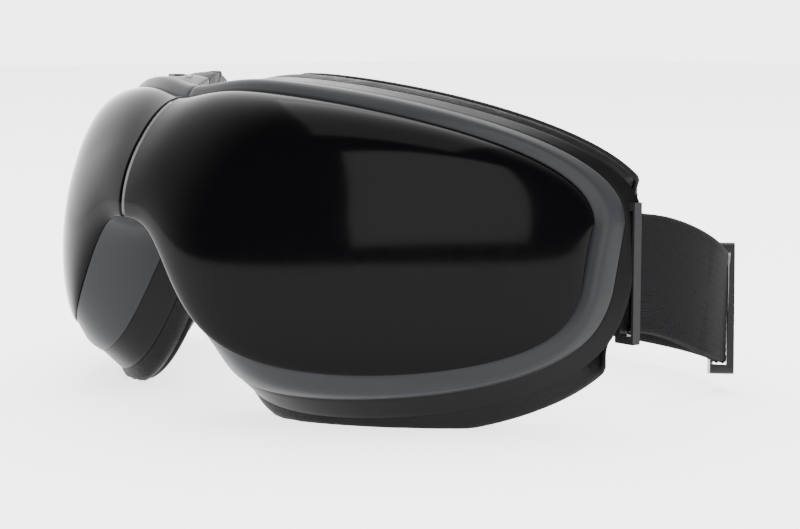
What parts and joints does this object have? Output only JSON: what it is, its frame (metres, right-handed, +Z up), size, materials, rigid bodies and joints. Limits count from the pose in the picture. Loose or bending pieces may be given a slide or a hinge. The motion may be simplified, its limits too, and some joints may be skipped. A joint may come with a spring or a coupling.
{
  "type": "eye massager mask",
  "caption": "Folding eye massager mask: glossy shell halves hinged over the nose, padded eye cavities with airbags, charging port and elastic head strap.",
  "frame": {"origin": "under the middle of the whole part, on the plane it rests on", "axes": "+X to one temple, -Y to the front of the mask, +Z up"},
  "size_m": [0.2052, 0.1704, 0.0922],
  "materials": {
    "shell_gloss": "high gloss near-black",
    "frame_grey": "satin gunmetal grey",
    "housing_black": "satin black",
    "cushion_leather": "soft black pebbled leatherette over foam",
    "inner_plastic": "moulded dark grey",
    "heater_film": "thin heater film",
    "airbag_skin": "soft matt film",
    "node_rubber": "firm matt rubber",
    "screw_steel": "plain steel",
    "motor_steel": "drawn steel can",
    "weight_brass": "plain",
    "strap_plastic": "satin black",
    "strap_fabric": "dark charcoal woven elastic",
    "hinge_plastic": "moulded black",
    "bridge_rubber": "soft ribbed black",
    "cable_film": "amber film",
    "hose_rubber": "milky",
    "board_green": "solder mask",
    "battery_wrap": "shrink wrap",
    "button_plastic": "satin black",
    "light_clear": "frosted",
    "port_metal": "plated"
  },
  "bodies": {
    "bridge": {"hinge_pin": "screw_steel", "bridge_cover": "bridge_rubber", "bridge_cable": "cable_film", "bridge_hose": "hose_rubber", "strap_rear_band": "strap_fabric", "strap_side_right": "strap_fabric", "strap_side_left": "strap_fabric", "strap_return_layer": "strap_fabric"},
    "right_half": {"front_shell_right": "shell_gloss", "mid_frame_right": "frame_grey", "rear_housing_right": "housing_black", "face_cushion_right": "cushion_leather", "inner_carrier_right": "inner_plastic", "heating_pad_right": "heater_film", "temple_airbag_right": "airbag_skin", "case_screws_right": "screw_steel", "vibration_motor_right": "motor_steel", "speaker_right": "inner_plastic", "strap_anchor_right": "strap_plastic", "hinge_knuckles_right": "hinge_plastic", "main_board": "board_green", "air_pump": "motor_steel", "air_valve": "inner_plastic", "air_manifold": "inner_plastic"},
    "left_half": {"front_shell_left": "shell_gloss", "mid_frame_left": "frame_grey", "rear_housing_left": "housing_black", "face_cushion_left": "cushion_leather", "inner_carrier_left": "inner_plastic", "heating_pad_left": "heater_film", "temple_airbag_left": "airbag_skin", "case_screws_left": "screw_steel", "vibration_motor_left": "motor_steel", "speaker_left": "inner_plastic", "strap_anchor_left": "strap_plastic", "hinge_knuckles_left": "hinge_plastic", "battery": "battery_wrap", "charge_board": "board_green", "button_switches": "inner_plastic", "status_light": "light_clear", "charge_port": "port_metal"},
    "adjuster": {"slide_adjuster": "strap_plastic"},
    "right_eye_pad": {"eye_airbag_right": "airbag_skin", "massage_nodes_right": "node_rubber"},
    "left_eye_pad": {"eye_airbag_left": "airbag_skin", "massage_nodes_left": "node_rubber"},
    "right_weight": {"motor_weight_right": "weight_brass"},
    "left_weight": {"motor_weight_left": "weight_brass"},
    "crank": {"pump_crank": "weight_brass"},
    "plunger": {"valve_plunger": "screw_steel"},
    "power_button": {"power_button": "button_plastic"},
    "mode_button": {"mode_button": "button_plastic"}
  },
  "joints": [
    {"name": "fold_right", "type": "hinge", "parent": "bridge", "child": "right_half", "pos_m": [0, -0.06055, 0], "axis": [0, 0, 1], "range_deg": [0, 40], "deforming": ["bridge_cover", "bridge_cable", "bridge_hose", "strap_side_right", "strap_return_layer"]},
    {"name": "fold_left", "type": "hinge", "parent": "bridge", "child": "left_half", "pos_m": [0, -0.06055, 0], "axis": [0, 0, -1], "range_deg": [0, 40], "deforming": ["strap_side_left"]},
    {"name": "adjuster_slide", "type": "slide", "parent": "bridge", "child": "adjuster", "axis": [-0.6737, 0.7174, -0.1771], "range_m": [-0.0025, 0.0025]},
    {"name": "right_pad_inflate", "type": "slide", "parent": "right_half", "child": "right_eye_pad", "axis": [-0.5241, 0.8277, -0.2003], "range_m": [0, 0.0035], "stiffness_N_per_m": 200},
    {"name": "left_pad_inflate", "type": "slide", "parent": "left_half", "child": "left_eye_pad", "axis": [0.5241, 0.8277, -0.2003], "range_m": [0, 0.0035], "stiffness_N_per_m": 200},
    {"name": "right_weight_spin", "type": "hinge", "parent": "right_half", "child": "right_weight", "pos_m": [0.02463, -0.06176, 0.0796], "axis": [-0.0659, 0.2156, 0.9743], "continuous": true},
    {"name": "left_weight_spin", "type": "hinge", "parent": "left_half", "child": "left_weight", "pos_m": [-0.02463, -0.06176, 0.0796], "axis": [0.0659, 0.2156, 0.9743], "continuous": true},
    {"name": "crank_spin", "type": "hinge", "parent": "right_half", "child": "crank", "pos_m": [0.06185, -0.05499, 0.03761], "axis": [-0.1168, 0.1412, 0.9831], "continuous": true},
    {"name": "plunger_slide", "type": "slide", "parent": "right_half", "child": "plunger", "axis": [0.1191, -0.1112, -0.9866], "range_m": [0, 0.0008], "stiffness_N_per_m": 200},
    {"name": "power_press", "type": "slide", "parent": "left_half", "child": "power_button", "axis": [0, 0, -1], "range_m": [0, 0.0006], "stiffness_N_per_m": 800},
    {"name": "mode_press", "type": "slide", "parent": "left_half", "child": "mode_button", "axis": [0, 0, -1], "range_m": [0, 0.0006], "stiffness_N_per_m": 800}
  ],
  "couplings": [
    {"joint": "fold_left", "follows": "fold_right", "ratio": 1}
  ]
}
